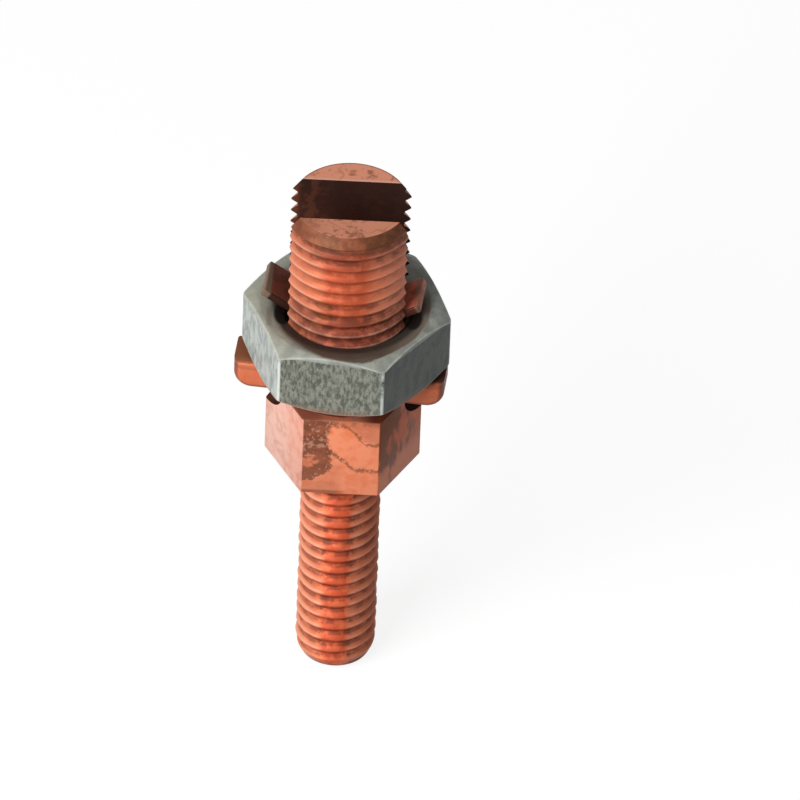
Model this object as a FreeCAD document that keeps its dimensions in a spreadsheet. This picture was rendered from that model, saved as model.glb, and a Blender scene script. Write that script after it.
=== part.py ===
import FreeCAD, Part
import Sketcher
import math
import os

# Service post connector: a threaded stud, a hexagonal collar and a split threaded post in one piece of
# copper, a plated steel nut on the post, and a copper pressure bar that the nut carries in the slot.
# The origin is the centre of the collar's underside, the face that sits on a bus bar. +Z runs up the
# post and X runs along the slot. Threads are plain cylinders at their outer diameter.

# Driving sizes, in millimetres and degrees
SIZES = [
    ("stud_dia", 6.35, "outer diameter of the stud's thread"),
    ("stud_long", 20.7, "stud below the collar"),
    ("stud_tip_dia", 4.5, "flat end of the stud"),
    ("stud_tip_long", 1.8, "tapered end of the stud"),
    ("collar_flats", 10.5, "collar across flats"),
    ("collar_high", 7.5, "collar thickness"),
    ("post_dia", 10.4, "outer diameter of the post's thread"),
    ("post_long", 17.9, "post above the collar"),
    ("post_tip_dia", 8.9, "flat top of the post"),
    ("post_tip_long", 1.1, "tapered top of the post"),
    ("thread_deep", 0.5, "depth of the post's thread"),
    ("slot_wide", 4.6, "slot between the two legs"),
    ("slot_sink", 2.45, "bottom of the slot below the collar's top"),
    ("bar_long", 16.4, "pressure bar along the slot"),
    ("bar_high", 2.75, "pressure bar below the nut"),
    ("bar_side_gap", 0.5, "bar to each wall of the slot when straight"),
    ("bar_touch_gap", 0.05, "turned bar to the wall at the slot's end"),
    ("bar_shift", -0.3, "bar's centre along the slot"),
    ("bar_end_round", 1.4, "rounded lower corners of the ears"),
    ("bar_edge_round", 0.7, "rounded long edges of the bar"),
    ("nut_flats", 14.2, "nut across flats"),
    ("nut_high", 5.5, "nut thickness"),
    ("nut_play", 0.3, "nut above the bar's top face"),
    ("nut_bevel", 30.0, "slope of the nut's corner bevels"),
    ("nut_turned", -7.7, "how far the nut is turned from the slot"),
    ("bore_gap", 0.05, "nut's bore to post, at the radius"),
    ("dish_margin", 0.4, "flat rim round the nut's dished top"),
    ("dish_deep", 0.25, "depth of the dish at the bore"),
    ("tang_thick", 0.65, "sheet thickness of each tang"),
    ("tang_gap", 0.05, "tang to the crests of the nut's thread"),
    ("tang_lean", 58.0, "flared tang from upright"),
    ("tang_inset", 0.85, "flared tip inside the nut's flats"),
    ("tang_rise", 1.8, "flared tip above the nut"),
    ("tang_bend", 0.3, "inside radius of the tang's bend"),
]

# Points of one sketch that are nearer than this are one point
SAME_PLACE = 1e-6

doc = FreeCAD.newDocument("service_post_connector")
sheet = doc.addObject("Spreadsheet::Sheet", "Sizes")
for row, (alias, value, meaning) in enumerate(SIZES, start=1):
    sheet.set(f"A{row}", meaning)
    sheet.set(f"B{row}", str(value))
    sheet.setAlias(f"B{row}", alias)
doc.recompute()

# Sizes of the copper body that follow from the driving ones
STUD_R = "(Sizes.stud_dia / 2)"
POST_R = "(Sizes.post_dia / 2)"
POST_TOP = "(Sizes.collar_high + Sizes.post_long)"
SLOT_HALF = "(Sizes.slot_wide / 2)"
SLOT_CENTRE = f"(Sizes.collar_high - Sizes.slot_sink + {SLOT_HALF})"

# The loose bar lies turned in the slot, until its sides nearly meet the walls where the slot leaves the
# collar's corners. Its rounded lower edges lie in the round bottom of the slot.
COLLAR_HALF = "(Sizes.collar_flats / 2)"
SLOT_END = f"(({COLLAR_HALF} - {SLOT_HALF} * sin(30 deg)) / cos(30 deg))"
TOUCH_HALF = f"({SLOT_HALF} - Sizes.bar_touch_gap)"
BAR_HALF_LONG = "(Sizes.bar_long / 2)"
BAR_HALF_THICK = f"({SLOT_HALF} - Sizes.bar_side_gap)"
BAR_TURN = (
    f"(acos({BAR_HALF_THICK} / sqrt({TOUCH_HALF}^2 + {SLOT_END}^2))"
    f" - atan({SLOT_END} / {TOUCH_HALF}))"
)
BAR_TOP = f"({SLOT_CENTRE} - Sizes.bar_edge_round + Sizes.bar_high)"

# The nut rides just over the bar
NUT_BOTTOM = f"({BAR_TOP} + Sizes.nut_play)"
NUT_HALF = "(Sizes.nut_flats / 2)"
BEVEL_OUT = "Sizes.nut_flats"
BEVEL_RISE = f"(({BEVEL_OUT} - {NUT_HALF}) * tan(Sizes.nut_bevel * 1 deg))"
BORE_R = f"({POST_R} + Sizes.bore_gap)"
DISH_FLOOR = "(Sizes.nut_high - Sizes.dish_deep)"

# The tangs' outline, from the middle of the bar's top face. Each goes straight up inside the nut's
# thread and leans out over the dish above it.
THREAD_ROOT = f"({POST_R} - Sizes.thread_deep)"
TANG_OUT = (
    f"(sqrt({THREAD_ROOT}^2 - {BAR_HALF_THICK}^2)"
    f" - abs(Sizes.bar_shift) - Sizes.tang_gap)"
)
TANG_IN = f"({TANG_OUT} - Sizes.tang_thick)"
LEAN = "(Sizes.tang_lean * 1 deg)"
TIP_OUT_X = f"({NUT_HALF} - Sizes.tang_inset)"
TIP_IN_X = f"({TIP_OUT_X} - Sizes.tang_thick * cos({LEAN}))"
TIP_IN_Z = "(Sizes.nut_play + Sizes.nut_high + Sizes.tang_rise)"
TIP_OUT_Z = f"({TIP_IN_Z} - Sizes.tang_thick * sin({LEAN}))"
BEND_OUT_Z = f"({TIP_OUT_Z} - ({TIP_OUT_X} - {TANG_OUT}) / tan({LEAN}))"
BEND_IN_Z = f"({BEND_OUT_Z} + Sizes.tang_thick * tan({LEAN} / 2))"


def evaluate(expression):
    """The length that an expression gives with the sheet as it stands."""
    return float(sheet.evalExpression(expression))


def new_body(name, along="0", height="0", turn="0"):
    """An empty body at its place along the slot and up the post, turned about Z."""
    body = doc.addObject("PartDesign::Body", name)
    body.Label = name
    place = f"placement(vector({along}; 0; {height}); rotation({turn}; 0; 0))"
    body.setExpression("Placement", place)
    return body


def new_sketch(body, name, plane):
    """A sketch on one of the body's own origin planes."""
    sketch = body.newObject("Sketcher::SketchObject", name)
    face = next(item for item in body.Origin.OriginFeatures if item.Role == plane)
    sketch.AttachmentSupport = [(face, "")]
    sketch.MapMode = "FlatFace"
    return sketch


def drive(sketch, kind, *places, size):
    """Adds a constraint whose value is an expression."""
    index = sketch.addConstraint(Sketcher.Constraint(kind, *places, evaluate(size)))
    sketch.setExpression(f"Constraints[{index}]", size)


def outline(sketch, corners):
    """A closed outline through corners, each given by its expressions across and up."""
    points = [FreeCAD.Vector(evaluate(across), evaluate(up), 0) for across, up in corners]
    count = len(corners)
    for index in range(count):
        sketch.addGeometry(Part.LineSegment(points[index], points[(index + 1) % count]), False)
    for index in range(count):
        sketch.addConstraint(Sketcher.Constraint("Coincident", index, 2, (index + 1) % count, 1))
    for index, (across, up) in enumerate(corners):
        drive(sketch, "DistanceX", -1, 1, index, 1, size=across)
        drive(sketch, "DistanceY", -1, 1, index, 1, size=up)
    return points


def revolve(body, kind, name, corners):
    """Turns an outline about the body's Z axis, as a solid or as a cut."""
    sketch = new_sketch(body, f"{name}_outline", "XZ_Plane")
    outline(sketch, corners)
    feature = body.newObject(kind, name)
    feature.Profile = sketch
    feature.ReferenceAxis = (sketch, ["V_Axis"])
    feature.Angle = 360
    return feature


def pad_hexagon(body, name, half_flats, height):
    """A hexagonal blank that stands on the body's XY plane with a corner on its X axis."""
    sketch = new_sketch(body, f"{name}_outline", "XY_Plane")
    corner = f"{half_flats} / cos(30 deg)"
    outline(sketch, [
        (f"{corner} * cos({turn} deg)", f"{corner} * sin({turn} deg)") for turn in range(0, 360, 60)
    ])
    pad = body.newObject("PartDesign::Pad", name)
    pad.Profile = sketch
    pad.setExpression("Length", height)
    return pad


def cut_slot(body):
    """Cuts the slot, a U with a round bottom, through the post and the collar's corners."""
    sketch = new_sketch(body, "slot_outline", "YZ_Plane")
    above_post = f"({POST_TOP} + Sizes.slot_wide)"
    half, centre, top = evaluate(SLOT_HALF), evaluate(SLOT_CENTRE), evaluate(above_post)
    corners = [(half, centre), (half, top), (-half, top), (-half, centre)]
    points = [FreeCAD.Vector(across, up, 0) for across, up in corners]
    for start, end in zip(points, points[1:]):
        sketch.addGeometry(Part.LineSegment(start, end), False)
    circle = Part.Circle(FreeCAD.Vector(0, centre, 0), FreeCAD.Vector(0, 0, 1), half)
    sketch.addGeometry(Part.ArcOfCircle(circle, math.pi, 2 * math.pi), False)
    right, lid, left, bottom = range(4)
    sketch.addConstraint([
        Sketcher.Constraint("Coincident", right, 2, lid, 1),
        Sketcher.Constraint("Coincident", lid, 2, left, 1),
        Sketcher.Constraint("Tangent", left, 2, bottom, 1),
        Sketcher.Constraint("Tangent", bottom, 2, right, 1),
        Sketcher.Constraint("Vertical", right),
        Sketcher.Constraint("Horizontal", lid),
        Sketcher.Constraint("PointOnObject", bottom, 3, -2),
    ])
    drive(sketch, "Radius", bottom, size=SLOT_HALF)
    drive(sketch, "DistanceY", -1, 1, bottom, 3, size=SLOT_CENTRE)
    drive(sketch, "DistanceY", -1, 1, right, 2, size=above_post)
    pocket = body.newObject("PartDesign::Pocket", "slot")
    pocket.Profile = sketch
    pocket.Midplane = True
    pocket.setExpression("Length", "Sizes.collar_flats + Sizes.post_dia")
    return pocket


def edges_at(feature, points):
    """Names of the edges along Y that run through points of the XZ outline."""
    names = []
    for index, edge in enumerate(feature.Shape.Edges, start=1):
        ends = [(vertex.X, vertex.Z) for vertex in edge.Vertexes]
        along_y = len(ends) == 2 and math.dist(*ends) < SAME_PLACE
        if along_y and any(math.dist(ends[0], point) < SAME_PLACE for point in points):
            names.append(f"Edge{index}")
    return names


def edges_under(feature, height):
    """Names of the edges of the two side faces that reach below a height."""
    names = []
    for index, edge in enumerate(feature.Shape.Edges, start=1):
        ends = edge.Vertexes
        in_side_face = len(ends) == 2 and abs(ends[0].Y - ends[1].Y) < SAME_PLACE
        if in_side_face and min(end.Z for end in ends) < height - SAME_PLACE:
            names.append(f"Edge{index}")
    return names


def round_edges(body, name, base, edges, radius):
    """Rounds the named edges of a feature."""
    fillet = body.newObject("PartDesign::Fillet", name)
    fillet.Base = (base, edges)
    fillet.setExpression("Radius", radius)
    body.Tip = fillet
    doc.recompute()
    return fillet


def make_post_body():
    """Stud, collar and split post: a hexagonal bar turned at both ends and slotted from the top."""
    body = new_body("post_body")
    pad_hexagon(body, "collar", COLLAR_HALF, "Sizes.collar_high")
    revolve(body, "PartDesign::Revolution", "stud_and_post", [
        ("0", "-Sizes.stud_long"),
        ("Sizes.stud_tip_dia / 2", "-Sizes.stud_long"),
        (STUD_R, "-Sizes.stud_long + Sizes.stud_tip_long"),
        (STUD_R, "Sizes.collar_high"),
        (POST_R, "Sizes.collar_high"),
        (POST_R, f"{POST_TOP} - Sizes.post_tip_long"),
        ("Sizes.post_tip_dia / 2", POST_TOP),
        ("0", POST_TOP),
    ])
    cut_slot(body)
    return body


def make_nut():
    """Hexagonal nut with bevelled corners, a bore that clears the post and a dished top."""
    body = new_body("nut", height=NUT_BOTTOM, turn="Sizes.nut_turned")
    pad_hexagon(body, "nut_blank", NUT_HALF, "Sizes.nut_high")
    revolve(body, "PartDesign::Groove", "lower_bevel", [
        (NUT_HALF, "0"),
        (BEVEL_OUT, "0"),
        (BEVEL_OUT, BEVEL_RISE),
    ])
    revolve(body, "PartDesign::Groove", "upper_bevel", [
        (NUT_HALF, "Sizes.nut_high"),
        (BEVEL_OUT, "Sizes.nut_high"),
        (BEVEL_OUT, f"Sizes.nut_high - {BEVEL_RISE}"),
    ])
    revolve(body, "PartDesign::Groove", "bore_and_dish", [
        ("0", "0"),
        (BORE_R, "0"),
        (BORE_R, DISH_FLOOR),
        (f"{NUT_HALF} - Sizes.dish_margin", "Sizes.nut_high"),
        ("0", "Sizes.nut_high"),
    ])
    return body


def make_pressure_bar():
    """Bar across the slot, with two tangs that run up through the nut and flare over its dish."""
    body = new_body("pressure_bar", along="Sizes.bar_shift", height=BAR_TOP, turn=f"-{BAR_TURN}")
    sketch = new_sketch(body, "half_outline", "XZ_Plane")
    points = outline(sketch, [
        ("0", "-Sizes.bar_high"),
        (BAR_HALF_LONG, "-Sizes.bar_high"),
        (BAR_HALF_LONG, "0"),
        (TANG_OUT, "0"),
        (TANG_OUT, BEND_OUT_Z),
        (TIP_OUT_X, TIP_OUT_Z),
        (TIP_IN_X, TIP_IN_Z),
        (TANG_IN, BEND_IN_Z),
        (TANG_IN, "0"),
        ("0", "0"),
    ])
    end_corner, outer_bend, inner_bend = (
        [(side * points[index].x, points[index].y) for side in (1, -1)] for index in (1, 4, 7)
    )
    half = body.newObject("PartDesign::Pad", "half_bar")
    half.Profile = sketch
    half.Midplane = True
    half.setExpression("Length", f"{BAR_HALF_THICK} * 2")
    whole = body.newObject("PartDesign::Mirrored", "whole_bar")
    whole.Originals = [half]
    whole.MirrorPlane = (sketch, ["V_Axis"])
    body.Tip = whole
    doc.recompute()
    bent = round_edges(body, "outer_bends", whole, edges_at(whole, outer_bend), "Sizes.tang_bend")
    bent = round_edges(body, "inner_bends", bent, edges_at(bent, inner_bend),
                       "Sizes.tang_bend + Sizes.tang_thick")
    ends = round_edges(body, "ear_corners", bent, edges_at(bent, end_corner), "Sizes.bar_end_round")
    round_edges(body, "long_edges", ends, edges_under(ends, 0), "Sizes.bar_edge_round")
    return body


def check(bodies):
    """Stops if anything in the document failed or a body is not one sound solid."""
    doc.recompute()
    for item in doc.Objects:
        if "Invalid" in item.State or "Error" in item.State:
            raise RuntimeError(f"{item.Name} failed: {item.State}")
    for body in bodies:
        if body.Shape.isNull() or not body.Shape.isValid() or len(body.Shape.Solids) != 1:
            raise RuntimeError(f"{body.Label} is not one valid solid")


bodies = [make_post_body(), make_nut(), make_pressure_bar()]
check(bodies)
os.makedirs("parts", exist_ok=True)
for body in bodies:
    body.Shape.exportStep(f"parts/{body.Label}.step")
    print(body.Label, round(body.Shape.Volume, 2), body.Shape.BoundBox)
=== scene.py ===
import math

import bmesh
import bpy
from mathutils import Matrix, Vector, noise


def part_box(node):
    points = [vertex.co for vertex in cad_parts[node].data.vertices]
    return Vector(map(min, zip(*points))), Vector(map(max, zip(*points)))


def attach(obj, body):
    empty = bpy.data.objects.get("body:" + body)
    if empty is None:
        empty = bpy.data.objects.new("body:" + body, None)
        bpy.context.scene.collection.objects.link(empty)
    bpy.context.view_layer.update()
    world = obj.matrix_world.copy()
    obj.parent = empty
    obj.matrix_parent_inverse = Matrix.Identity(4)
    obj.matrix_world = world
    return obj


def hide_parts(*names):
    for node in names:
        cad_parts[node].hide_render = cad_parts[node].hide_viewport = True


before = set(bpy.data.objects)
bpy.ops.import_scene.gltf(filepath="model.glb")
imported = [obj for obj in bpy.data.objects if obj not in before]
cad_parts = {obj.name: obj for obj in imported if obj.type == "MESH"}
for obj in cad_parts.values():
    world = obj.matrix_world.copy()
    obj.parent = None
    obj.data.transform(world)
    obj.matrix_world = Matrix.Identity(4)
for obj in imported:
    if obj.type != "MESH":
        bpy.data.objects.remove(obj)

# Dresses the service post connector: its threads, worn edges and finishes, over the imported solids.
# Shapes are made in millimetres, where the solids are, and scaled to metres when they are finished.
# Z runs up the split post, X along its slot, and the origin is the centre of the collar's underside.

MM = 0.001
ALONG_X = Matrix.Rotation(math.pi / 2, 4, "Y")
LATHE_STEPS = 144
WELD = 0.0005
FINAL_WELD = 0.0008
SHARP = math.radians(34)

# Threads: both are right-handed. A crest's height is where it passes over +X.
POST_R = 5.2
POST_PITCH = 1.12
POST_CREST = 21.78
POST_DEPTH = 0.46
STUD_R = 3.175
STUD_PITCH = 1.18
STUD_CREST = -0.35
STUD_DEPTH = 0.36
THREAD_STEPS = 120
THREAD_PLAY = 0.06
THREAD_SUNK = 1.2
PAST_END = 0.6

# Wear: its patches are longer round a thread than along it. The front leg's thread is part filled.
WEAR_LONG = 1.6
FILL_R = POST_R - 0.14
FILL = 0.45
FILL_BY_SLOT = 0.25
FILL_REACH = 0.9

# Copper body. The stud's end is given as radii, and heights above its tip.
COLLAR_HIGH = 7.5
COLLAR_FLATS = 10.5
COLLAR_SOFT = 0.13
SLOT_HALF = 2.3
SLOT_CENTRE = 7.35
SLOT_CUT_LONG = 18
SLOT_CUT_HIGH = 22
POST_TIP_R = 4.45
POST_TIP_LONG = 1.1
POST_LIMIT_R = POST_R + 0.2
POST_SHOULDER_R = POST_R - 0.06
POST_SHOULDER_LONG = 0.35
STUD_END = [(1.85, 0), (2.3, 0.14), (2.72, 0.5), (3.0, 1.05), (3.14, 1.8), (3.3, 2.6)]
STUD_LIMIT_R = 3.3

# Nut
NUT_TURN = math.radians(-7.7)
NUT_FLATS = 14.2
NUT_BEVEL = math.radians(30)
NUT_BEVEL_IN = 0.03
NUT_BEVEL_LONG = 1.5
NUT_SOFT = 0.28
DISH_R = 6.7
DISH_DEEP = 0.25
DISH_FLOOR_R = POST_R + 0.1
LEAD_IN_R = POST_R - POST_DEPTH
LEAD_IN_DEEP = 0.35
ENTRY_R = POST_R + 0.3
ENTRY_DEEP = 0.7

# Pressure bar, from the middle of its top face
BAR_TURN = math.radians(-5.34)
BAR_SHIFT = -0.3
BAR_TOP = 9.4
BAR_DEEP = 2.75
BAR_LONG = 16.4
BAR_THICK = 3.6
BAR_SOFT = 0.78
EAR_ROUND = 1.4
TANG_OUT = 3.99
TANG_THICK = 0.65
TANG_INSET = 0.02
TANG_SUNK = 0.4
TANG_SOFT = 0.12
TANG_LEAN = math.radians(58)
TANG_TIP_OUT = 6.25
TANG_TIP_HIGH = 7.6

# Studio: a floor, one lamp placed in metres, and a pale room
FLOOR_SIZE = 4000
FLOOR_GLOW = 0.86
ROOM_LIGHT = 0.26
LAMP_PLACE = (-0.28, -0.34, 0.27)
LAMP_SIZE = 0.3
LAMP_POWER = 2.9

# Camera: the photograph's view, from 41 degrees above level with a long lens, rolled a little
ELEVATION = math.radians(41.19)
AZIMUTH = math.radians(0.7)
ROLL = math.radians(2.25)
ORIGIN_PIXEL = (342.0, 449.3)
PIXELS_PER_MM = 12.88
PICTURE = 800
DISTANCE = 1200.0
SENSOR = 36.0


def millimetres(node):
    """The lowest and highest corners of a solid, in millimetres."""
    low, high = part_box(node)
    return low / MM, high / MM


# Shapes


def tidy(bm):
    """Merges points that lie together and turns the faces outwards."""
    bmesh.ops.remove_doubles(bm, verts=bm.verts, dist=WELD)
    bmesh.ops.recalc_face_normals(bm, faces=bm.faces)
    return bm


def chain(bm, points):
    """A line of edges through (radius, height) points in the XZ plane, as geometry to spin."""
    verts = [bm.verts.new((radius, 0, height)) for radius, height in points]
    edges = [bm.edges.new(pair) for pair in zip(verts, verts[1:])]
    return verts + edges


def lathe(points):
    """A turned solid. Its profile starts and ends on the axis."""
    bm = bmesh.new()
    bmesh.ops.spin(bm, geom=chain(bm, points), axis=(0, 0, 1), cent=(0, 0, 0), angle=math.tau,
                   steps=LATHE_STEPS, use_merge=True)
    return tidy(bm)


def cut_level(bm, height, upwards):
    """Cuts off what lies beyond a height and closes the cut."""
    everything = bm.verts[:] + bm.edges[:] + bm.faces[:]
    cut = bmesh.ops.bisect_plane(bm, geom=everything, dist=1e-5, plane_co=(0, 0, height),
                                 plane_no=(0, 0, upwards), clear_outer=True)
    edges = [item for item in cut["geom_cut"] if isinstance(item, bmesh.types.BMEdge)]
    bmesh.ops.contextual_create(bm, geom=edges)


def thread_profile(major, depth, pitch, crest_flat, root_flat):
    """One turn of a thread as (radius, height) points, from root to root, with softened corners."""
    minor = major - depth
    soft = 0.25 * crest_flat
    return [
        (minor, 0),
        (minor + soft, root_flat / 2 * pitch),
        (major - 0.5 * depth, (root_flat / 2 + 0.5 - crest_flat / 2) / 2 * pitch),
        (major - soft, (0.5 - crest_flat / 2) * pitch),
        (major, 0.5 * pitch),
        (major - soft, (0.5 + crest_flat / 2) * pitch),
        (major - 0.5 * depth, (1 - root_flat / 2 + 0.5 + crest_flat / 2) / 2 * pitch),
        (minor + soft, (1 - root_flat / 2) * pitch),
        (minor, pitch),
    ]


def threaded_rod(major, depth, pitch, crest_height, low, high, crest_flat, root_flat):
    """A rod with a right-handed thread, cut level at both ends. One turn is spun, then repeated."""
    profile = thread_profile(major, depth, pitch, crest_flat, root_flat)
    start = crest_height - pitch * (math.ceil((crest_height - low) / pitch) + 1.5)
    turns = math.ceil((high - start) / pitch) + 1
    bm = bmesh.new()
    line = chain(bm, [(radius, start + height) for radius, height in profile])
    bmesh.ops.spin(bm, geom=line, axis=(0, 0, 1), cent=(0, 0, 0), angle=math.tau,
                   dvec=(0, 0, pitch / THREAD_STEPS), steps=THREAD_STEPS)
    one_turn = bm.verts[:] + bm.edges[:] + bm.faces[:]
    for turn in range(1, turns):
        copy = bmesh.ops.duplicate(bm, geom=one_turn)
        verts = [item for item in copy["geom"] if isinstance(item, bmesh.types.BMVert)]
        bmesh.ops.translate(bm, verts=verts, vec=(0, 0, turn * pitch))
    tidy(bm)
    cut_level(bm, high, 1)
    cut_level(bm, low, -1)
    return tidy(bm)


def span(edge, axis):
    """How far an edge runs along an axis: 1 is Y and 2 is Z."""
    return abs(edge.verts[0].co[axis] - edge.verts[1].co[axis])


def soften(bm, edges, width, segments):
    """Rounds edges."""
    bmesh.ops.bevel(bm, geom=edges, offset=width, segments=segments, affect="EDGES", profile=0.5,
                    material=-1)


def hexagon(flats, low, high, turn, soft):
    """A hexagonal block with two corners on X before it is turned, and softened upright edges."""
    bm = bmesh.new()
    corner = flats / 2 / math.cos(math.pi / 6)
    place = Matrix.Translation((0, 0, (low + high) / 2)) @ Matrix.Rotation(turn + math.pi / 6, 4, "Z")
    bmesh.ops.create_cone(bm, cap_ends=True, segments=6, radius1=corner, radius2=corner,
                          depth=high - low, matrix=place)
    soften(bm, [edge for edge in bm.edges if span(edge, 2) > 1], soft, 3)
    return bm


def wear(bm, amount, grain):
    """Takes a little off the radius, unevenly, as handling does to soft threads."""
    for vert in bm.verts:
        spot = Vector((vert.co.x / WEAR_LONG, vert.co.y / WEAR_LONG, vert.co.z)) / grain
        level = 0.5 + 0.5 * noise.fractal(spot, 0.6, 2.0, 3)
        radius = math.hypot(vert.co.x, vert.co.y)
        if radius > 0.5:
            shrink = 1 - amount * min(max(level, 0), 1) / radius
            vert.co.x *= shrink
            vert.co.y *= shrink


def fill_thread(bm):
    """Part fills the thread on the front leg, and most of all beside the slot, where burrs closed it."""
    for vert in bm.verts:
        near = 1 - min(max((-vert.co.y - SLOT_HALF) / FILL_REACH, 0), 1)
        radius = math.hypot(vert.co.x, vert.co.y)
        if vert.co.y < -1 and radius > 1:
            grown = 1 + (FILL_R - radius) * (FILL + FILL_BY_SLOT * near) / radius
            vert.co.x *= grown
            vert.co.y *= grown


def joined(*parts):
    """Several shapes in one mesh."""
    whole = bmesh.new()
    for bm in parts:
        step = bpy.data.meshes.new("step")
        bm.to_mesh(step)
        bm.free()
        whole.from_mesh(step)
        bpy.data.meshes.remove(step)
    return whole


def as_object(bm, name):
    """A bmesh as an object in the scene."""
    mesh = bpy.data.meshes.new(name)
    bm.to_mesh(mesh)
    bm.free()
    thing = bpy.data.objects.new(name, mesh)
    bpy.context.scene.collection.objects.link(thing)
    return thing


def carve(thing, bm, operation):
    """Cuts, joins or trims an object with a shape, and keeps the result as its mesh."""
    tool = as_object(bm, "tool")
    step = thing.modifiers.new("carve", "BOOLEAN")
    step.operation = operation
    step.solver = "MANIFOLD"
    step.object = tool
    graph = bpy.context.evaluated_depsgraph_get()
    result = bpy.data.meshes.new_from_object(thing.evaluated_get(graph))
    thing.modifiers.remove(step)
    old = thing.data
    thing.data = result
    bpy.data.meshes.remove(old)
    bpy.data.objects.remove(tool)


def finish_piece(thing, body, node, material):
    """Brings a piece to metres, shades it, hangs it on its body and hides the solid that it replaces."""
    bm = bmesh.new()
    bm.from_mesh(thing.data)
    bmesh.ops.remove_doubles(bm, verts=bm.verts, dist=FINAL_WELD)
    bmesh.ops.scale(bm, vec=(MM, MM, MM), verts=bm.verts)
    bm.to_mesh(thing.data)
    bm.free()
    thing.data.shade_smooth()
    thing.data.set_sharp_from_angle(angle=SHARP)
    thing.data.materials.clear()
    thing.data.materials.append(material)
    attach(thing, body)
    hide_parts(node)


def slot_cutter():
    """The cable slot: straight walls over a round bottom, right through along X."""
    steps = 48
    half_step = math.pi / steps
    radius = SLOT_HALF / math.cos(half_step)
    bm = bmesh.new()
    place = Matrix.Translation((0, 0, SLOT_CENTRE)) @ ALONG_X @ Matrix.Rotation(half_step, 4, "Z")
    bmesh.ops.create_cone(bm, cap_ends=True, segments=steps, radius1=radius, radius2=radius,
                          depth=SLOT_CUT_LONG, matrix=place)
    upper = [vert for vert in bm.verts if vert.co.z > SLOT_CENTRE]
    bmesh.ops.translate(bm, verts=upper, vec=(0, 0, SLOT_CUT_HIGH))
    return bm


def body_limits(low, high):
    """What trims the threads' ends: the stud's rounded end, and the post's bevelled one."""
    end = [(radius, low + height) for radius, height in STUD_END]
    stud = lathe([(0, low)] + end + [(STUD_LIMIT_R, 1), (0, 1)])
    foot = COLLAR_HIGH - 1
    shoulder = high - POST_TIP_LONG
    post = lathe([(0, foot), (POST_LIMIT_R, foot), (POST_LIMIT_R, shoulder - POST_SHOULDER_LONG),
                  (POST_SHOULDER_R, shoulder), (POST_TIP_R, high), (0, high)])
    return joined(stud, post)


def make_post_body(material):
    """Stud, collar and split post: one piece of copper."""
    low, high = millimetres("post_body")
    stud = threaded_rod(STUD_R, STUD_DEPTH, STUD_PITCH, STUD_CREST, low.z - PAST_END, THREAD_SUNK,
                        crest_flat=0.22, root_flat=0.24)
    wear(stud, amount=0.09, grain=1.1)
    post = threaded_rod(POST_R, POST_DEPTH, POST_PITCH, POST_CREST, COLLAR_HIGH - THREAD_SUNK,
                        high.z + PAST_END, crest_flat=0.16, root_flat=0.26)
    wear(post, amount=0.07, grain=1.2)
    fill_thread(post)
    body = as_object(joined(stud, post), "post_body_copper")
    carve(body, body_limits(low.z, high.z), "INTERSECT")
    collar = hexagon(COLLAR_FLATS, 0, COLLAR_HIGH, 0, COLLAR_SOFT)
    soften(collar, [edge for edge in collar.edges if span(edge, 2) < 0.01], COLLAR_SOFT * 0.6, 2)
    carve(body, collar, "UNION")
    carve(body, slot_cutter(), "DIFFERENCE")
    finish_piece(body, "post", "post_body", material)


def make_nut(material):
    """The plated nut: bevelled corners, a dished top and a thread that fits the post's."""
    low, high = millimetres("nut")
    nut = as_object(hexagon(NUT_FLATS, low.z, high.z, NUT_TURN, NUT_SOFT), "nut_plated")
    rim = NUT_FLATS / 2 - NUT_BEVEL_IN
    wide = rim + NUT_BEVEL_LONG
    rise = NUT_BEVEL_LONG * math.tan(NUT_BEVEL)
    carve(nut, lathe([(0, low.z), (rim, low.z), (wide, low.z + rise), (wide, high.z - rise),
                      (rim, high.z), (0, high.z)]), "INTERSECT")
    floor = high.z - DISH_DEEP
    dish = lathe([(0, floor - LEAD_IN_DEEP), (LEAD_IN_R, floor - LEAD_IN_DEEP), (DISH_FLOOR_R, floor),
                  (DISH_R, high.z), (DISH_R + 0.4, high.z + 1), (0, high.z + 1)])
    entry = lathe([(0, low.z - 1), (ENTRY_R, low.z - 1), (ENTRY_R, low.z),
                   (LEAD_IN_R, low.z + ENTRY_DEEP), (0, low.z + ENTRY_DEEP)])
    carve(nut, joined(dish, entry), "DIFFERENCE")
    tap = threaded_rod(POST_R + THREAD_PLAY, POST_DEPTH, POST_PITCH, POST_CREST, low.z - 1.5,
                       high.z + 1.5, crest_flat=0.2, root_flat=0.14)
    carve(nut, tap, "DIFFERENCE")
    finish_piece(nut, "nut", "nut", material)


def tang_outline():
    """A tang from the side: upright in the nut's bore, and leaning out over its dish."""
    inner = TANG_OUT - TANG_THICK
    tip_in = TANG_TIP_OUT - TANG_THICK * math.cos(TANG_LEAN)
    tip_low = TANG_TIP_HIGH - TANG_THICK * math.sin(TANG_LEAN)
    bend = tip_low - (TANG_TIP_OUT - TANG_OUT) / math.tan(TANG_LEAN)
    inner_bend = bend + TANG_THICK * math.tan(TANG_LEAN / 2)
    return [(inner, -TANG_SUNK), (TANG_OUT, -TANG_SUNK), (TANG_OUT, bend), (TANG_TIP_OUT, tip_low),
            (tip_in, TANG_TIP_HIGH), (inner, inner_bend)]


def make_tang(side):
    """One sheet tang of the bar, on the left or the right."""
    tang = bmesh.new()
    front = TANG_INSET - BAR_THICK / 2
    verts = [tang.verts.new((side * x, front, z)) for x, z in tang_outline()]
    face = tang.faces.new(verts)
    grown = bmesh.ops.extrude_face_region(tang, geom=[face])
    moved = [item for item in grown["geom"] if isinstance(item, bmesh.types.BMVert)]
    bmesh.ops.translate(tang, verts=moved, vec=(0, BAR_THICK - 2 * TANG_INSET, 0))
    tidy(tang)
    soften(tang, tang.edges, TANG_SOFT, 3)
    return tang


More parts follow.
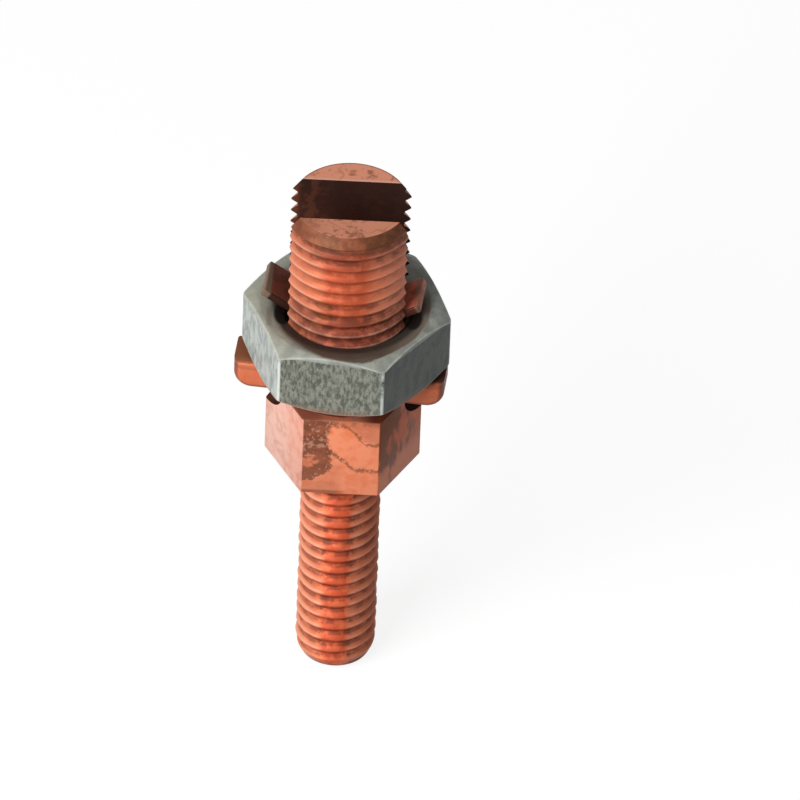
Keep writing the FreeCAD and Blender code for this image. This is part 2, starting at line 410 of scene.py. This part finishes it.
def make_bar(material):
    """The copper pressure bar: a block with soft edges, and two sheet tangs that lean out."""
    block = bmesh.new()
    size = Matrix.Diagonal((BAR_LONG, BAR_THICK, BAR_DEEP, 1))
    bmesh.ops.create_cube(block, size=1, matrix=Matrix.Translation((0, 0, -BAR_DEEP / 2)) @ size)
    corners = [edge for edge in block.edges
               if span(edge, 1) > 1 and all(abs(vert.co.x) > 1 and vert.co.z < -1 for vert in edge.verts)]
    soften(block, corners, EAR_ROUND, 7)
    soften(block, [edge for edge in block.edges if span(edge, 1) < 0.01], BAR_SOFT, 6)
    bar = as_object(block, "pressure_bar_copper")
    for side in (1, -1):
        carve(bar, make_tang(side), "UNION")
    place = Matrix.Translation((BAR_SHIFT, 0, BAR_TOP)) @ Matrix.Rotation(BAR_TURN, 4, "Z")
    bar.data.transform(place)
    finish_piece(bar, "bar", "pressure_bar", material)


# Finishes


class Value:
    """A node's output, so that shader maths reads as Python."""

    def __init__(self, paint, socket):
        self.paint = paint
        self.socket = socket

    def maths(self, operation, *others):
        return self.paint.add("Math", {"operation": operation}, dict(enumerate((self, *others))))

    def __add__(self, other):
        return self.maths("ADD", other)

    def __sub__(self, other):
        return self.maths("SUBTRACT", other)

    def __rsub__(self, other):
        return self.paint.add("Math", {"operation": "SUBTRACT"}, {0: other, 1: self})

    def __mul__(self, other):
        return self.maths("MULTIPLY", other)

    def __truediv__(self, other):
        return self.maths("DIVIDE", other)

    def __abs__(self):
        return self.maths("ABSOLUTE")

    def __pow__(self, other):
        return self.maths("POWER", other)

    def most(self, other):
        return self.maths("MAXIMUM", other)

    def least(self, other):
        return self.maths("MINIMUM", other)

    __radd__ = __add__


class Paint:
    """A material and the nodes that it is mixed from."""

    def __init__(self, name):
        self.material = bpy.data.materials.new(name)
        self.material.use_nodes = True
        self.tree = self.material.node_tree
        self.tree.nodes.clear()

    def add(self, kind, settings=None, values=None, output=0):
        """A new node: its settings first, then its sockets' values or links. Gives one output."""
        node = self.tree.nodes.new("ShaderNode" + kind)
        for key, value in (settings or {}).items():
            setattr(node, key, value)
        for key, value in (values or {}).items():
            if isinstance(value, Value):
                self.tree.links.new(value.socket, node.inputs[key])
            else:
                node.inputs[key].default_value = value
        return Value(self, node.outputs[output]) if node.outputs else node

    def millimetres(self):
        """The place on the piece, in millimetres, and its three parts."""
        place = self.add("TexCoord", output="Object")
        place = self.add("VectorMath", {"operation": "SCALE"}, {0: place, "Scale": 1 / MM})
        return place, [self.add("SeparateXYZ", None, {0: place}, axis) for axis in "XYZ"]

    def noise(self, place, scale, detail=2.0, roughness=0.5, distortion=0.0, stretch=(1, 1, 1)):
        """Cloudy noise from 0 to 1, with about scale blots to a millimetre."""
        if stretch != (1, 1, 1):
            place = self.add("Mapping", None, {"Vector": place, "Scale": stretch})
        return self.add("TexNoise", None, {"Vector": place, "Scale": scale, "Detail": detail,
                                           "Roughness": roughness, "Distortion": distortion})

    def ramp(self, value, low, high):
        """0 below low, 1 above high and smooth between; falls instead if low is the greater."""
        return self.add("MapRange", {"interpolation_type": "SMOOTHSTEP"},
                        {"Value": value, "From Min": low, "From Max": high})

    def band(self, value, centre, reach, core):
        """1 within core of a centre, and 0 beyond its reach."""
        return self.ramp(abs(value - centre), reach, core)

    def blot(self, distance, reach=1.2, core=0.5):
        """1 where a squared distance is under core, and 0 where it is over reach."""
        return self.ramp(distance, reach, core)

    def mix(self, share, under, over):
        """One colour laid over another by a share of 0 to 1."""
        return self.add("Mix", {"data_type": "RGBA"}, {0: share, 6: under, 7: over}, 2)

    def shade(self, color, roughness, height, bump, metallic, gloss):
        """The finished surface."""
        normal = self.add("Bump", None, {"Height": height, "Strength": bump, "Distance": 0.1 * MM})
        surface = self.add("BsdfPrincipled", None, {
            "Base Color": color, "Roughness": roughness, "Metallic": metallic, "Normal": normal,
            "Specular IOR Level": gloss})
        self.add("OutputMaterial", None, {"Surface": surface})
        return self.material


def squared_distance(x, y, centre, reach):
    """How far a place lies from a centre, where 1 is its reach along each axis."""
    return ((x - centre[0]) / reach[0]) ** 2 + ((y - centre[1]) / reach[1]) ** 2


def rgb(red, green, blue):
    """A colour from the 0 to 255 values that a screen shows."""
    parts = [part / 255 for part in (red, green, blue)]
    return [part / 12.92 if part < 0.04045 else ((part + 0.055) / 1.055) ** 2.4 for part in parts] + [1]


# Stains and worn places sit where the photograph shows them. Their places and widths are in
# millimetres, a share is how much one colour covers another, and the noises run from 0 to 1.

# Colours of bare, rubbed and stained copper, and of the sheen, reflection, highlights and shade painted
# on it
SALMON = rgb(224, 132, 100)
ORANGE = rgb(228, 116, 74)
EMBER = rgb(196, 82, 50)
PINK = rgb(250, 198, 180)
CREST = rgb(246, 172, 142)
LEFT_CREST = rgb(252, 174, 140)
PEACH = rgb(238, 160, 132)
CLAY = rgb(180, 108, 82)
OXIDE = rgb(142, 83, 58)
BROWN = rgb(108, 60, 42)
MAROON = rgb(108, 56, 42)
DEEP_SHADE = rgb(44, 24, 20)
MOSS = rgb(92, 50, 22)

# The collar's front, its right face with drips laid dark as painted shade, and its top in painted shade
CLEAN = rgb(242, 134, 92)
CLEAN_PALE = rgb(252, 156, 118)
SPECKLE = rgb(206, 160, 138)
RUBBED = rgb(226, 130, 96)
DRIP_SHADE_RED = rgb(192, 94, 54)
DRIP_SHADE_PALE = rgb(218, 136, 102)
LEDGE = rgb(190, 120, 92)
LEDGE_LEFT = rgb(150, 88, 68)
LEDGE_RIGHT_SHADE = rgb(98, 44, 32)

# The post's end
TURNED = rgb(156, 92, 64)
TURNED_LEFT = rgb(126, 76, 54)
OLIVE = rgb(88, 62, 38)
FACE = rgb(248, 166, 134)

# Painted shade on the pressure bar's top and tangs, and the colours of the right tang and the tips
BAR_TOP_SHADE_LEFT = rgb(132, 84, 58)
BAR_TOP_SHADE_RIGHT = rgb(52, 36, 30)
TANG_LEFT_SHADE = rgb(126, 66, 50)
TANG_RIGHT = rgb(226, 118, 92)
TANG_TIP = rgb(132, 112, 94)

# Plating: two tones a face, with the left flat painted lit and the right one painted shaded, then its
# edges
PLATE = (rgb(90, 93, 84), rgb(146, 147, 134))
PLATE_LEFT_LIT = (rgb(150, 158, 156), rgb(200, 205, 199))
PLATE_RIGHT_SHADED = (rgb(54, 64, 62), rgb(80, 90, 85))
PLATE_BEVEL = (rgb(150, 155, 146), rgb(174, 178, 168))
PLATE_PIT = rgb(66, 70, 66)
PLATE_WARM = rgb(196, 190, 168)
PLATE_WORN_SHINE = rgb(226, 231, 223)
# A painted reflection of copper, then the dirt and painted shade in the dish
COPPER_REFLECTION = rgb(150, 112, 94)
DISH_DIRT_AND_SHADE = rgb(88, 73, 61)
DISH_PALE = rgb(136, 122, 108)
DISH_SHADE_DEEP = rgb(44, 35, 26)
DISH_LIP = rgb(132, 124, 110)
TANG_SHADOW = rgb(30, 26, 24)

# The roughness that all three finishes start from
SATIN = 0.46


def copper_surface(p, color, roughness, cloud, grit):
    """The finish of bare copper: satin, clouded and finely pitted."""
    roughness = roughness + (cloud - 0.5) * 0.2
    return p.shade(color, roughness, grit * 0.4 + cloud * 0.6, bump=0.45, metallic=0.25, gloss=0.15)


def paint_threads(p, color, x, z, radius, cloud, grit, in_stud):
    """Worn threads with painted light: salmon sheen on the left, reflected red in the middle, brown shade
    on the right, highlights on the crests and shade in the roots.
    """
    side = x / radius
    on_post = 1 - in_stud
    depth = POST_R - in_stud * (POST_R - STUD_R) - radius
    crest = p.ramp(depth, 0.18, 0.06)
    hollow = p.ramp(depth, 0.12, 0.3)
    root = p.ramp(depth, 0.2, 0.31)
    middle = p.band(side, -0.02, 0.48, 0.24)

    # Painted light by side: red reflected down the middle, salmon sheen on the left, darker bands beside
    # the red, brown shade on the right, and paler peach at the post's far right.
    color = p.mix(middle * (0.45 + p.ramp(cloud, 0.38, 0.5) * 0.45), color, EMBER)
    color = p.mix(p.ramp(side, -0.3, -0.75) * 0.6, color, SALMON)
    color = p.mix(p.band(side, -0.58, 0.2, 0.08) * (0.12 + in_stud * 0.1), color, OXIDE)
    color = p.mix(on_post * p.ramp(side, 0.5, 0.2) * 0.22, color, OXIDE)
    color = p.mix(p.ramp(side, 0.24, 0.42) * (0.35 + in_stud * 0.35), color, CLAY)
    color = p.mix(on_post * p.ramp(side, 0.35, 0.75) * 0.45, color, PEACH)

    # Painted highlights: pale lines along the crests, broadest on the stud's far left.
    color = p.mix(crest * p.ramp(side, 1.4, -0.6) * (1 - middle) * 0.7, color, CREST)
    far_left = p.ramp(depth, 0.28, 0.14) * p.ramp(side, -0.5, -0.85)
    color = p.mix(far_left * (0.15 + in_stud * 0.4), color, LEFT_CREST)
    # Painted shade in the roots, lighter across a band of the post's middle turns.
    clean = p.band(z, 20.6, 2.0, 1.2)
    color = p.mix(root * (0.18 + p.ramp(cloud, 0.4, 0.56) * 0.42) * (1 - clean * 0.6), color, MAROON)
    # Painted highlights on the crests of the post's lowest turns.
    color = p.mix(on_post * crest * p.ramp(z, 17.2, 16.2) * 0.6, color, PINK)

    # Painted shade: dark marks in the hollows on either side of the reflected red.
    beside_shine = p.band(abs(side), 0.32, 0.16, 0.06) * p.ramp(cloud, 0.46, 0.56)
    shade_reach = in_stud.most(p.ramp(z, 19.6, 18.2)) * 0.75
    color = p.mix(hollow * beside_shine * shade_reach, color, BROWN)
    pits = p.ramp(grit, 0.64, 0.72) * p.ramp(cloud, 0.48, 0.6)
    return p.mix(pits * 0.7, color, BROWN)


def stain_post(p, color, x, y, z, radius, cloud, in_post):
    """Dark stain on the post's upper and lower turns, and small dark dabs across its front that deepen
    the shadow under crests, as painted shade.
    """
    crest = p.ramp(radius, POST_R - 0.16, POST_R - 0.04)
    lower = p.ramp(z, 18.9, 16.8) * (1 - p.ramp(x, -3.2, -4.6) * 0.5)
    upper = p.ramp(z, 22.0, 23.6) * (0.2 + p.ramp(x, -4.2, -2.4) * 0.6)
    stain = lower.most(upper) * (1 - crest * 0.5)
    color = p.mix(in_post * stain * (0.48 + p.ramp(cloud, 0.35, 0.6) * 0.42), color, MAROON)
    # Painted shade: dark dabs in the shadow lines under two crests low down and one high up.
    wander = (cloud - 0.5) * 2
    pair = p.blot(squared_distance(x, abs(z - 18.03), (-1.7, 0.5), (0.85, 0.3)) + wander)
    dash = p.blot(squared_distance(x, z, (-0.2, 23.5), (1.1, 0.25)) + wander)
    return p.mix(pair.most(dash) * p.ramp(y, -3, -4) * 0.65, color, MOSS)


def paint_front(p, x, y, z, cloud, grit, drift, speck):
    """The collar's front: clean salmon, two broken stains across it, and oxide down its left part."""
    color = p.mix(p.ramp(cloud, 0.35, 0.6) * 0.8, CLEAN, CLEAN_PALE)
    upper = 7.1 - p.ramp(x, -0.3, 2.5) * 1.9
    lower = 4.3 - p.ramp(x, -0.9, 1.5) * 1.8
    wander = (cloud - 0.5) * 1.1 + (grit - 0.5) * 0.4
    color = p.mix(p.ramp(z - upper + wander, 0.0, 0.5) * 0.5, color, CLAY)
    for height in (upper, lower):
        stain = p.band(z + wander, height, 0.34, 0.04) * p.ramp(speck, 0.36, 0.48)
        color = p.mix(stain * p.ramp(y, -3, -4.5) * 0.8, color, OXIDE)
    color = p.mix(p.ramp(z, 6.7, 7.3) * p.ramp(cloud, 0.38, 0.52) * 0.6, color, OXIDE)

    wash = p.ramp(z, 1.5, 1.1) * p.ramp(x, 0.4, -0.8)
    wash = wash.most(p.ramp(x, 0.3, -0.3) * p.ramp(z, 3.4, 2.8) * 0.6)
    color = p.mix(wash * 0.4, color, CLAY)
    color = p.mix(p.ramp(z, 0.42, 0.3) * p.ramp(x, 0.8, -0.4) * 0.65, color, OXIDE)

    edge = (drift - 0.5) * 1.5 + (grit - 0.5) * 0.9 - 0.72
    edge = edge - p.ramp(z, 2.6, 1.2) * 1.3 - p.ramp(z + wander * 0.3, 1.35, 0.95) * 3
    oxide = p.ramp(x - edge, 0.15, -0.15)
    island = p.band(z, 4.9, 0.4, 0.15) * p.ramp(speck, 0.42, 0.52)
    brown = p.mix(p.ramp(cloud, 0.38, 0.6) * (0.6 + p.ramp(z, 3.8, 5.0) * 0.4), OXIDE, BROWN)
    brown = p.mix(p.ramp(speck, 0.57, 0.66).most(island) * 0.5, brown, SPECKLE)
    rubbed = p.blot(squared_distance(x, z, (-2.5, 3.3), (0.7, 0.6)) + wander * 5, 1.3, 0.6)
    rubbed = rubbed * p.ramp(speck, 0.4, 0.47) * p.ramp(y, -3, -4.5)
    brown = p.mix(rubbed * 0.7, brown, RUBBED)
    return p.mix(oxide * 0.92, color, brown)


def paint_collar(p, place, x, y, z, cloud, grit):
    """The collar's faces: a stained front, pink painted sheen on its left, and brown drips on its right
    laid dark as painted shade.
    """
    cosine = math.cos(math.pi / 6)
    flat = COLLAR_FLATS / 2
    left = p.ramp(x * -cosine - y * 0.5, flat - 0.12, flat - 0.04)
    right = p.ramp(x * cosine - y * 0.5, flat - 0.12, flat - 0.04)
    drift = p.noise(place, 0.42, 2.5, 0.5)
    speck = p.noise(place, 3.0, 2, 0.5)
    drips = p.noise(place, 0.9, 3, 0.6, 0.3, stretch=(1, 1, 0.4))

    # Painted sheen: the left face is pale pink, warmer towards its front corner, with faint veins.
    pink = p.mix(p.ramp(x, -5.2, -3.1) * 0.42 + p.ramp(cloud, 0.46, 0.62) * 0.22, PINK, SALMON)
    pink = p.mix(p.band(drift, 0.47, 0.05, 0.015) * 0.25, pink, CLAY)
    # The right face's brown drips, laid thick and dark so that they paint its shade too.
    dark = p.ramp(x, 5.0, 3.7) * 0.16 + p.ramp(z, 5.2, 7.2) * 0.08 - p.ramp(z, 2.8, 1.2) * 0.18
    streak = p.mix(p.ramp(z, 3.2, 1.4) * 0.6, DRIP_SHADE_RED, DRIP_SHADE_PALE)
    streak = p.mix(p.ramp(drips + dark, 0.46, 0.66) * 0.88, streak, MOSS)
    color = paint_front(p, x, y, z, cloud, grit, drift, speck)
    color = p.mix(left * 0.95, color, pink)
    return p.mix(right * 0.95, color, streak)


def paint_bevel(p, color, x, y, z, cloud, shoulder):
    """The turned bevel at the post's end, dull and olive in places, over a dark groove."""
    turned = p.mix(p.ramp(x, 0.5, -3.5) * 0.6, TURNED, TURNED_LEFT)
    turned = p.mix(p.ramp(cloud, 0.42, 0.6) * 0.6, turned, BROWN)
    olive = p.band(x, -1.5, 1.3, 0.4).most(p.ramp(x, 0.9, 1.9)) * p.ramp(y, -2, -3)
    turned = p.mix(olive * 0.55, turned, OLIVE)
    groove = p.band(z, shoulder - 0.17, 0.18, 0.06)
    color = p.mix(groove * p.ramp(x, -4.4, -3) * 0.5, color, BROWN)
    return p.mix(p.ramp(z, shoulder - 0.1, shoulder + 0.05) * 0.9, color, turned)


def paint_face(p, x, y, radius, cloud, broad):
    """The post's sawn top: bright, with stains, fine lines and a pale edge along the slot."""
    face = p.mix(p.ramp(y, 0, -2) * (0.2 + p.ramp(x, -1.4, -3.4) * 0.35), FACE, OXIDE)
    face = p.mix(p.ramp(cloud, 0.52, 0.66) * 0.7, face, OXIDE)
    face = p.mix(p.band(broad, 0.5, 0.012, 0.0036) * 0.3, face, OXIDE)
    rim = p.ramp(radius, POST_TIP_R - 0.16, POST_TIP_R - 0.04) * p.ramp(y, 0, 1)
    face = p.mix(rim * 0.7, face, BROWN)
    return p.mix(p.band(y, SLOT_HALF + 0.08, 0.14, 0.04) * 0.7, face, PINK)


def paint_body():
    """Bare copper: orange threads with painted shade in their roots, a stained collar, and a slot painted
    near black as shade.
    """
    p = Paint("bare copper body")
    high = millimetres("post_body")[1].z
    place, (x, y, z) = p.millimetres()
    radius = (x * x + y * y) ** 0.5
    broad = p.noise(place, 0.3, 2)
    cloud = p.noise(place, 1.2, 4, 0.6)
    grit = p.noise(place, 5.0, 3, 0.65)
    in_post = p.ramp(z, COLLAR_HIGH + 0.02, COLLAR_HIGH + 0.06)
    in_stud = p.ramp(z, 0.0, -0.04)
    in_collar = (1 - in_post) * (1 - in_stud)

    color = p.mix(p.ramp(broad, 0.4, 0.62) * 0.5, ORANGE, SALMON)
    color = paint_threads(p, color, x, z, radius, cloud, grit, in_stud)
    color = stain_post(p, color, x, y, z, radius, cloud, in_post)
    color = p.mix(in_collar, color, paint_collar(p, place, x, y, z, cloud, grit))
    color = paint_bevel(p, color, x, y, z, cloud, high - POST_TIP_LONG)
    top = p.ramp(z, high - 0.01, high - 0.003)
    color = p.mix(top * 0.95, color, paint_face(p, x, y, radius, cloud, broad))

    # Painted shade on the collar's top under the nut, darker towards both ends and darkest on the right.
    shelf = p.ramp(z, COLLAR_HIGH - 0.12, COLLAR_HIGH - 0.03) * (1 - in_post)
    ledge = p.mix(p.ramp(x, 1.0, 2.6), LEDGE, LEDGE_RIGHT_SHADE)
    ledge = p.mix(p.ramp(x, -0.8, -2.4), ledge, LEDGE_LEFT)
    color = p.mix(shelf * 0.9, color, ledge)

    # Painted shade: the slot's walls are near black, lighter brown towards its left end.
    under = (z - SLOT_CENTRE).least(0)
    slot = p.ramp((y * y + under * under) ** 0.5, SLOT_HALF + 0.035, SLOT_HALF + 0.015) * (1 - top)
    patch = p.ramp(x, -0.8, -3.2) * p.ramp(cloud, 0.44, 0.58) * 0.45
    wall = p.mix(patch.most(p.ramp(x, -3.8, -4.3) * 0.8), DEEP_SHADE, BROWN)
    color = p.mix(slot * 0.95, color, wall)
    return copper_surface(p, color, SATIN + slot * 0.25, cloud, grit)


def paint_tangs(p, color, x, y, z, cloud):
    """The bar's tangs: inner faces and edges darkened as painted shade, and paler tips."""
    tang = p.ramp(z, BAR_TOP + 0.3, BAR_TOP + 0.6)
    # Painted shade: the left tang's inner face is dark, and both are clouded darker.
    inner = p.mix(p.ramp(x, -1, 1), TANG_LEFT_SHADE, TANG_RIGHT)
    inner = p.mix(p.ramp(cloud, 0.45, 0.65) * 0.4, inner, DEEP_SHADE)
    color = p.mix(tang * 0.9, color, inner)
    # Painted shade along the tangs' front and back edges.
    side = BAR_THICK / 2
    edge = p.ramp(abs(y + x * math.tan(-BAR_TURN)), side - 0.16, side - 0.06)
    color = p.mix(tang * edge * 0.9, color, DEEP_SHADE)
    tip = p.ramp(abs(x * math.cos(BAR_TURN) - BAR_SHIFT) + (z - BAR_TOP) * 0.6, 9.8, 10.05)
    return p.mix(tang * tip * (0.5 + p.ramp(x, 2, -2) * 0.3), color, TANG_TIP)


def paint_ears(p, color, x, y, z, top):
    """The rims of the bar's ears, darker along the top and darkest round the outline, as painted shade.
    """
    below = BAR_TOP - z
    # Painted shade along the ears' upper edge and round their rounded ends and undersides.
    lip = p.ramp(below, 0.35, 0.1).most(p.band(below, 0.45, 0.35, 0.15) * 0.6)
    color = p.mix(lip * (1 - top) * 0.7, color, OXIDE)
    reach = abs(x * math.cos(BAR_TURN) + y * math.sin(BAR_TURN) - BAR_SHIFT)
    end = (reach - (BAR_LONG / 2 - EAR_ROUND)).most(0)
    foot = (below - (BAR_DEEP - EAR_ROUND)).most(0)
    outline = (end * end + foot * foot) ** 0.5 - EAR_ROUND
    lower = p.ramp(outline, -0.72, -0.42) * p.ramp(foot, 0.4, 0.8) * 0.8
    rim = p.ramp(outline, -0.5, -0.2).most(lower)
    return p.mix(rim * (1 - top) * 0.75, color, BROWN)


def paint_bar():
    """Bare formed copper: bright ears, with painted shade on the top and on the tangs."""
    p = Paint("bare copper bar")
    place, (x, y, z) = p.millimetres()
    cloud = p.noise(place, 1.1, 4, 0.6)
    grit = p.noise(place, 5.0, 3, 0.65)
    color = p.mix(p.ramp(cloud, 0.4, 0.68) * 0.6, ORANGE, SALMON)
    color = p.mix(0.15 + p.ramp(x, 3, 6) * 0.25, color, CLAY)
    color = p.mix(p.ramp(grit, 0.58, 0.72) * 0.5, color, OXIDE)
    # Painted shadow on the bar's top under the nut, darkest on the right.
    top = p.ramp(z, BAR_TOP - 0.35, BAR_TOP - 0.1)
    color = p.mix(top * 0.9, color, p.mix(p.ramp(x, -2, 2), BAR_TOP_SHADE_LEFT, BAR_TOP_SHADE_RIGHT))
    color = paint_tangs(p, color, x, y, z, cloud)
    color = paint_ears(p, color, x, y, z, top)
    return copper_surface(p, color, SATIN, cloud, grit)


def hexagon_reach(x, y, turn):
    """How far out a place lies towards the nearest flat of a hexagon, and towards the next one."""
    angles = [turn + math.radians(angle) for angle in (30, 90, 150)]
    one, two, three = [abs(x * math.cos(angle) + y * math.sin(angle)) for angle in angles]
    nearest = one.most(two).most(three)
    least = one.least(two).least(three)
    return nearest, one + two + three - nearest - least


def paint_flats(p, place, x, y, mottle):
    """The nut's six flats: mottled all round, streaked, with painted light on the left flat and painted
    shade on the right one.
    """
    streak = p.noise(place, 1.5, 4, 0.6, 0.3, stretch=(1, 1, 0.45))
    grit = p.noise(place, 6.0, 3, 0.65)
    half = NUT_FLATS / 2
    color = p.mix(p.ramp(mottle, 0.36, 0.64), *PLATE)
    color = p.mix(p.ramp(grit, 0.56, 0.7) * 0.45, color, PLATE_PIT)
    # Painted light and shade: the left flat pale, the right one dark.
    for angle, shades in ((210, PLATE_LEFT_LIT), (330, PLATE_RIGHT_SHADED)):
        facing = NUT_TURN + math.radians(angle)
        flat = p.ramp(x * math.cos(facing) + y * math.sin(facing), half - 0.2, half - 0.08)
        color = p.mix(flat * 0.85, color, p.mix(p.ramp(streak, 0.38, 0.6), *shades))
    return color, grit


def paint_edges(p, color, x, y, z, radius, cloud, low, high):
    """The nut's smooth bevels and top, with bright corners and upper edges: worn plating and painted
    highlights.
    """
    half = NUT_FLATS / 2
    middle = (low + high) / 2
    bevel_edge = (high - low) / 2 - (radius - half + NUT_BEVEL_IN) * math.tan(NUT_BEVEL)
    below = bevel_edge - abs(z - middle)
    smooth = p.mix(p.ramp(cloud, 0.4, 0.62), *PLATE_BEVEL)
    smooth = p.mix(p.ramp(x, -3, -6) * 0.4, smooth, PLATE_WARM)
    on_bevel = p.ramp(below, 0.08, 0.03).most(p.ramp(z, high - 0.5, high - 0.3))
    color = p.mix(on_bevel * 0.9, color, smooth)
    # Bright corners and upper edges: worn plating, with painted highlights as well.
    nearest, next_one = hexagon_reach(x, y, NUT_TURN)
    corner = p.ramp(next_one, half - 0.2, half - 0.1)
    brow = p.ramp(below + (half - nearest), 0.14, 0.04) * p.ramp(z, middle - 1, middle + 1)
    return p.mix(corner.most(brow * 0.4) * p.ramp(cloud, 0.3, 0.5) * 0.9, color, PLATE_WORN_SHINE)


def paint_dish_dirt_and_shade(p, color, x, y, z, radius, cloud, high):
    """Dirt and painted shade round the post in the nut's dish, widest in front, and painted black shadow
    beside the tangs.
    """
    # Dirt and painted shade: a dark ring round the post, widest in front and deepest beside it.
    stain = 6.3 + (y / radius) ** 2 * 0.75 + x * 0.03 + (cloud - 0.5) * 0.5 - radius
    stain = stain + p.band(x, 1.2, 2.6, 0.2) * 0.2
    stained = p.ramp(stain, -0.04, 0.16 + p.ramp(x, -0.5, -4) * 0.5) * (1 - p.ramp(y, 0.5, 3) * 0.75)
    on_top = p.ramp(z, high - 0.6, high - 0.4)
    dish_tone = p.mix(p.ramp(abs(x), 2.8, 4.6) * 0.5, DISH_DIRT_AND_SHADE, DISH_PALE)
    dish_tone = p.mix(p.ramp(radius, DISH_R - 0.4, POST_R + 0.5), dish_tone, DISH_SHADE_DEEP)
    color = p.mix(on_top * stained * 0.93, color, dish_tone)
    # A paler lip, and painted black shadow, beside each tang.
    beside = abs(x - 0.12)
    lip = p.band(beside, 6.05, 0.3, 0.12) * p.band(y, -2.1, 1.4, 1.0)
    color = p.mix(on_top * lip * 0.6, color, DISH_LIP)
    hollow = p.blot(squared_distance(beside, y, (5.05, -1.5), (0.65, 1.35)), 1.3, 0.7)
    return p.mix(on_top * hollow * 0.95, color, TANG_SHADOW)


def paint_nut():
    """Dull plating: upright mottle, painted light on the left flat and shade on the right, bright edges,
    a painted copper reflection, and a dish darkened with dirt and painted shade.
    """
    p = Paint("dull plated steel")
    low, high = millimetres("nut")
    place, (x, y, z) = p.millimetres()
    radius = (x * x + y * y) ** 0.5
    cloud = p.noise(place, 0.8, 4, 0.6)
    mottle = p.noise(place, 4.0, 3, 0.6, 0.3, stretch=(1, 1, 0.4))
    color, grit = paint_flats(p, place, x, y, mottle)
    color = paint_edges(p, color, x, y, z, radius, cloud, low.z, high.z)
    # Painted reflection of the copper collar along the nut's lower front edge.
    reflection = p.ramp(z, low.z + 0.9, low.z + 0.2) * p.ramp(y, -3, -5)
    color = p.mix(reflection * 0.45, color, COPPER_REFLECTION)
    color = paint_dish_dirt_and_shade(p, color, x, y, z, radius, cloud, high.z)
    roughness = SATIN + (mottle - 0.5) * 0.25
    return p.shade(color, roughness, grit * 0.5 + mottle * 0.5, bump=0.5, metallic=0.15, gloss=0.3)


# Studio


def white_floor():
    """A pale floor under the stud's end, that shows white and keeps the shadow."""
    low = millimetres("post_body")[0].z
    bm = bmesh.new()
    bmesh.ops.create_grid(bm, x_segments=1, y_segments=1, size=FLOOR_SIZE,
                          matrix=Matrix.Translation((0, 0, low)))
    bmesh.ops.scale(bm, vec=(MM, MM, MM), verts=bm.verts)
    floor = as_object(bm, "floor")
    p = Paint("white floor")
    paths = p.tree.nodes.new("ShaderNodeLightPath")
    seen = Value(p, paths.outputs["Is Camera Ray"])
    seen = seen + Value(p, paths.outputs["Is Glossy Ray"])
    seen = seen + Value(p, paths.outputs["Is Transmission Ray"])
    matt = p.add("BsdfDiffuse", None, {"Color": rgb(122, 122, 122)})
    glow = p.add("Emission", None, {"Color": (1, 1, 1, 1), "Strength": FLOOR_GLOW})
    both = p.add("AddShader", None, {0: matt, 1: glow})
    surface = p.add("MixShader", None, {0: seen, 1: matt, 2: both})
    p.add("OutputMaterial", None, {"Surface": surface})
    floor.data.materials.append(p.material)


def light_studio():
    """One soft square light from the front left, aimed at the origin, in a pale room."""
    world = bpy.data.worlds.new("room")
    bpy.context.scene.world = world
    world.use_nodes = True
    room = world.node_tree.nodes["Background"]
    room.inputs["Color"].default_value = (1, 1, 1, 1)
    room.inputs["Strength"].default_value = ROOM_LIGHT
    light = bpy.data.lights.new("left_window", "AREA")
    light.shape = "SQUARE"
    light.size = LAMP_SIZE
    light.energy = LAMP_POWER
    lamp = bpy.data.objects.new("left_window", light)
    bpy.context.scene.collection.objects.link(lamp)
    lamp.location = LAMP_PLACE
    lamp.rotation_euler = (-Vector(LAMP_PLACE)).to_track_quat("-Z", "Y").to_euler()


def place_camera():
    """The photograph's camera, square on to its middle."""
    side = Vector((math.cos(AZIMUTH), math.sin(AZIMUTH), 0))
    forward = Vector((-math.sin(AZIMUTH), math.cos(AZIMUTH), 0))
    up = forward * math.sin(ELEVATION) + Vector((0, 0, math.cos(ELEVATION)))
    right = side * math.cos(ROLL) + up * math.sin(ROLL)
    above = up * math.cos(ROLL) - side * math.sin(ROLL)
    back = right.cross(above)
    middle = PICTURE / 2
    aim = right * (middle - ORIGIN_PIXEL[0]) - above * (middle - ORIGIN_PIXEL[1])
    data = bpy.data.cameras.new("camera")
    data.sensor_width = SENSOR
    data.lens = SENSOR * DISTANCE / (PICTURE / PIXELS_PER_MM)
    camera = bpy.data.objects.new("camera", data)
    bpy.context.scene.collection.objects.link(camera)
    turn = Matrix((right, above, back)).transposed().to_4x4()
    spot = (aim / PIXELS_PER_MM + back * DISTANCE) * MM
    camera.matrix_world = Matrix.Translation(spot) @ turn
    bpy.context.scene.camera = camera


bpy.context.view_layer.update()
make_post_body(paint_body())
make_nut(paint_nut())
make_bar(paint_bar())
white_floor()
light_studio()
place_camera()
bpy.context.scene.view_settings.view_transform = "Standard"
